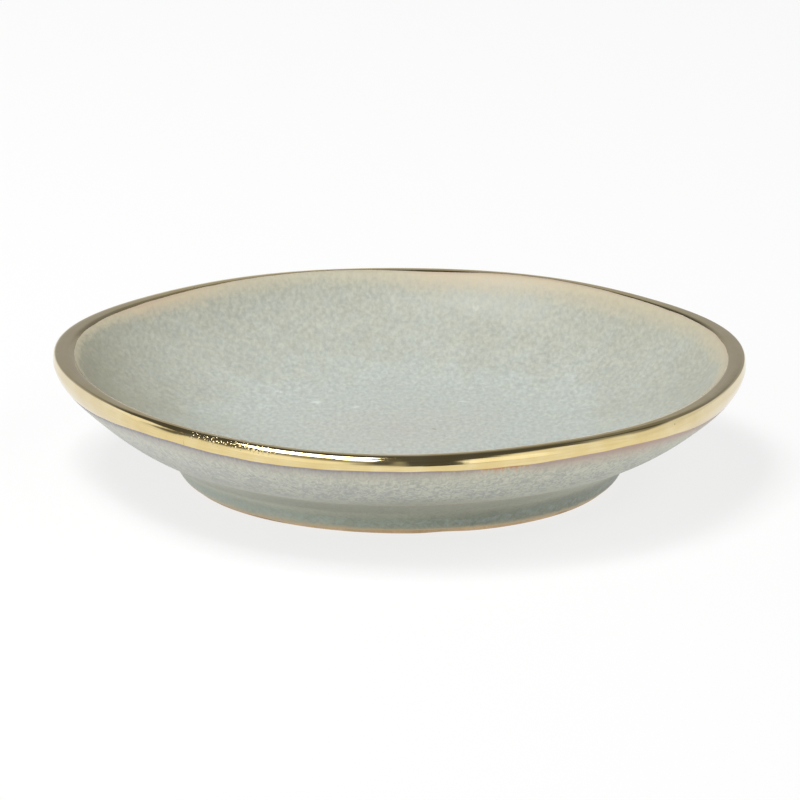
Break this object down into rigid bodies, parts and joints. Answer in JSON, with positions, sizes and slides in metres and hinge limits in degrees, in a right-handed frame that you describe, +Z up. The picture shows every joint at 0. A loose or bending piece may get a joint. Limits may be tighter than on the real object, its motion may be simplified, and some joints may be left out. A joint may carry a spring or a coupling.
{
  "type": "ring dish",
  "caption": "Shallow round glazed stoneware dish with a gold lip and a turned foot, for holding rings and small jewellery.",
  "frame": {"origin": "on the table, in the middle of the round foot, under the middle of the dish", "axes": "+Z up out of the well, -Y the side that faces the viewer in the picture, +X the viewer's right"},
  "size_m": [0.1228, 0.1201, 0.0218],
  "materials": {
    "bare_stoneware": "matt, unglazed fired clay",
    "outer_glaze": "glossy reactive glaze, grey sage with lavender mottling",
    "inner_glaze": "satin-gloss reactive glaze, pale sage, creamy near the lip",
    "recess_glaze": "glossy glaze, grey sage",
    "gold_lustre": "polished fired gold lustre"
  },
  "bodies": {
    "root": {"stoneware_body": "bare_stoneware", "outer_glaze": "outer_glaze", "inner_glaze": "inner_glaze", "foot_recess_glaze": "recess_glaze", "gold_rim_band": "gold_lustre"}
  },
  "joints": []
}
